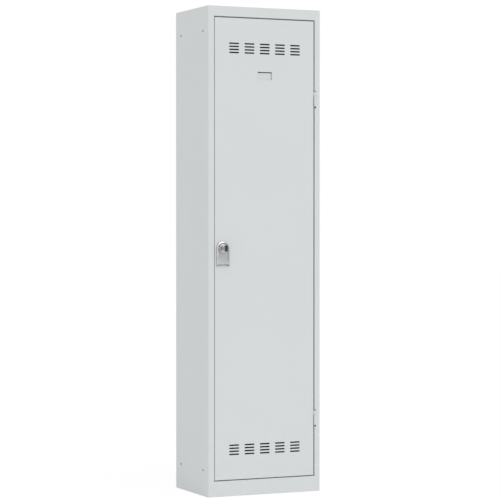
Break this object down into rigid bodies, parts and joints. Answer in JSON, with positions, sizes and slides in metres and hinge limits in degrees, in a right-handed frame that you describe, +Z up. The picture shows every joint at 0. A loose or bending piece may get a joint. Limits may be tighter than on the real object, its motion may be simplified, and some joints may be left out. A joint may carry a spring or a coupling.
{
  "type": "single-door metal locker",
  "caption": "Tall single-door sheet-steel locker with slotted vents, recessed card window, hinged door, keyed cam lock with finger pull, hat shelf and coat rail.",
  "frame": {"origin": "middle of the cabinet's footprint, on the floor; the footprint is that of the cabinet without the lock pull and the key", "axes": "+Z up; the door faces -Y; +X is the hinge side and -X is the lock side, as seen from the front"},
  "size_m": [0.4566, 0.351, 1.8],
  "materials": {
    "paint": "light grey powder coat, fine satin texture",
    "zinc": "satin silver-grey zinc die casting",
    "steel": "zinc-plated steel",
    "rubber": "black rubber",
    "black_plastic": "moulded black plastic"
  },
  "bodies": {
    "cabinet": {"left_side_panel": "paint", "right_side_panel": "paint", "back_panel": "paint", "roof_tray": "paint", "header_panel": "paint", "floor_tray": "paint", "sill_panel": "paint", "hat_shelf": "paint", "shelf_rivets": "paint", "rail_brackets": "paint", "coat_rail": "steel", "door_buffers": "rubber", "upper_hinge_frame_leaf": "paint", "upper_hinge_pin": "steel", "lower_hinge_frame_leaf": "paint", "lower_hinge_pin": "steel"},
    "door": {"door_panel": "paint", "door_stiffener": "paint", "card_holder": "paint", "lock_pull": "zinc", "lock_barrel": "zinc", "lock_nut": "steel", "pull_screw": "steel", "upper_hinge_door_leaf": "paint", "lower_hinge_door_leaf": "paint"},
    "lock": {"lock_plug": "steel", "key_blade": "steel", "key_head": "black_plastic", "lock_cam": "steel", "cam_screw": "steel"},
    "hook_left": {"coat_hook_left": "steel"},
    "hook_right": {"coat_hook_right": "steel"}
  },
  "joints": [
    {"name": "door_hinge", "type": "hinge", "parent": "cabinet", "child": "door", "pos_m": [0.2065, -0.157, 0.9], "axis": [0, 0, 1], "range_deg": [0, 170]},
    {"name": "lock_turn", "type": "hinge", "parent": "door", "child": "lock", "pos_m": [-0.17, -0.155, 0.912], "axis": [0, 1, 0], "range_deg": [0, 90]},
    {"name": "hook_left_slide", "type": "slide", "parent": "cabinet", "child": "hook_left", "axis": [1, 0, 0], "range_m": [-0.115, 0.055]},
    {"name": "hook_right_slide", "type": "slide", "parent": "cabinet", "child": "hook_right", "axis": [1, 0, 0], "range_m": [-0.055, 0.115]}
  ]
}
